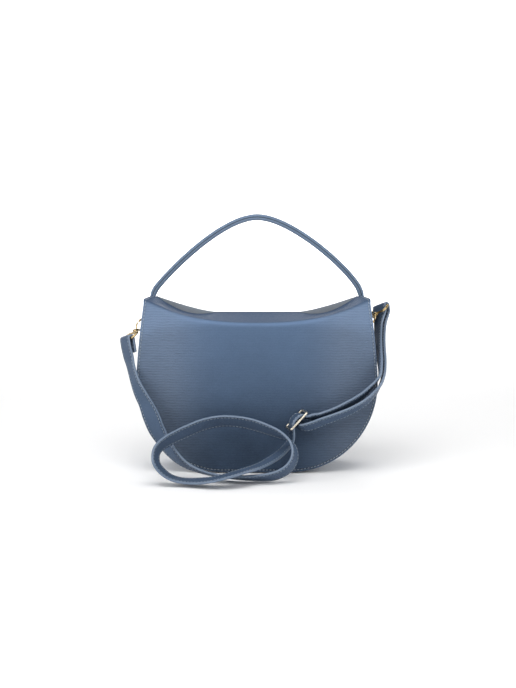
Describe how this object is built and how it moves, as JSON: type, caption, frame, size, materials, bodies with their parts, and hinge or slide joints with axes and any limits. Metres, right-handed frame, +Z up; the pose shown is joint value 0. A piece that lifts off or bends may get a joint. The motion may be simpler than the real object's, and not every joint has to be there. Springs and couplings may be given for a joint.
{
  "type": "half-moon flap handbag",
  "caption": "Small structured half-moon handbag with a full front flap, a rolled top handle and a clip-on shoulder strap looped in front of it.",
  "frame": {"origin": "on the floor, in the middle of the bag's flat base", "axes": "+X to the right seen from the flap's side, +Y from the flap to the back of the bag, +Z up to the handle"},
  "size_m": [0.2843, 0.1623, 0.2648],
  "materials": {
    "leather": "blue-grey grained leather, satin",
    "suede": "brushed suede lining",
    "cloth": "woven lining",
    "board": "stiffening board, hidden",
    "gold": "polished pale gold",
    "steel": "plated steel"
  },
  "bodies": {
    "bag_body": {"back_board": "board", "back_lining": "cloth", "back_panel": "leather", "base_board": "board", "front_board": "board", "front_lining": "cloth", "front_panel": "leather", "gusset": "leather", "gusset_lining": "cloth", "handle_tab_left": "leather", "handle_tab_right": "leather", "ring_tab_left": "leather", "ring_tab_right": "leather", "snap_socket": "gold", "snap_socket_plate": "steel", "tab_rivet_left": "gold", "tab_rivet_right": "gold"},
    "flap": {"flap_leather": "leather", "flap_lining": "suede", "flap_board": "board", "snap_stud": "gold", "snap_stud_plate": "steel"},
    "handle": {"handle_leather": "leather"},
    "ring_left": {"ring_left": "gold"},
    "ring_right": {"ring_right": "gold"},
    "hook_left": {"hook_left": "gold"},
    "hook_right": {"hook_right": "gold"},
    "gate_left": {"gate_left": "gold"},
    "gate_right": {"gate_right": "gold"},
    "strap": {"strap_curl": "leather", "strap_floor_run": "leather", "strap_fold_left": "leather", "strap_fold_right": "leather", "strap_left_run": "leather", "strap_loop_top": "leather", "strap_loop_turn": "leather", "strap_lower_ply": "leather", "strap_lower_rise": "leather", "strap_rise": "leather", "strap_slider_turn": "leather", "strap_upper_ply": "leather", "strap_upper_rise": "leather", "eye_left": "gold", "eye_right": "gold", "swivel_left": "gold", "swivel_right": "gold", "lap_rivet": "gold", "slider_bar": "steel", "slider_frame": "steel"}
  },
  "joints": [
    {"name": "flap_hinge", "type": "hinge", "parent": "bag_body", "child": "flap", "pos_m": [0, 0.0275, 0.1815], "axis": [-1, 0, 0], "range_deg": [0, 20]},
    {"name": "strap_swing", "type": "hinge", "parent": "bag_body", "child": "strap", "pos_m": [-0.0006, -0.00645, 0.15354], "axis": [-0.9999, 0.0067, -0.0082], "range_deg": [0, 36]},
    {"name": "handle_fold", "type": "hinge", "parent": "bag_body", "child": "handle", "pos_m": [0, 0.03175, 0.16893], "axis": [-1, 0, 0], "range_deg": [0, 100]},
    {"name": "ring_swing_left", "type": "hinge", "parent": "bag_body", "child": "ring_left", "pos_m": [-0.11265, 0, 0.162], "axis": [0, -1, 0], "range_deg": [-5, 5]},
    {"name": "ring_swing_right", "type": "hinge", "parent": "bag_body", "child": "ring_right", "pos_m": [0.11265, 0, 0.162], "axis": [0, 1, 0], "range_deg": [-5, 5]},
    {"name": "hook_swivel_left", "type": "hinge", "parent": "strap", "child": "hook_left", "pos_m": [-0.1195, -0.00566, 0.15257], "axis": [-0.6038, -0.5535, -0.5736], "range_deg": [-15, 15]},
    {"name": "hook_swivel_right", "type": "hinge", "parent": "strap", "child": "hook_right", "pos_m": [0.11829, -0.00725, 0.15451], "axis": [0.5, 0.7, 0.51], "range_deg": [-15, 15]},
    {"name": "gate_pivot_left", "type": "hinge", "parent": "hook_left", "child": "gate_left", "pos_m": [-0.12594, -0.01062, 0.14809], "axis": [-0.3077, 0.8257, -0.4728], "range_deg": [0, 25], "stiffness_Nm_per_rad": 0.02},
    {"name": "gate_pivot_right", "type": "hinge", "parent": "hook_right", "child": "gate_right", "pos_m": [0.12378, -0.00159, 0.15941], "axis": [0.4549, 0.2889, -0.8424], "range_deg": [0, 25], "stiffness_Nm_per_rad": 0.02}
  ],
  "couplings": [
    {"joint": "strap_swing", "follows": "flap_hinge", "ratio": 1.8}
  ]
}
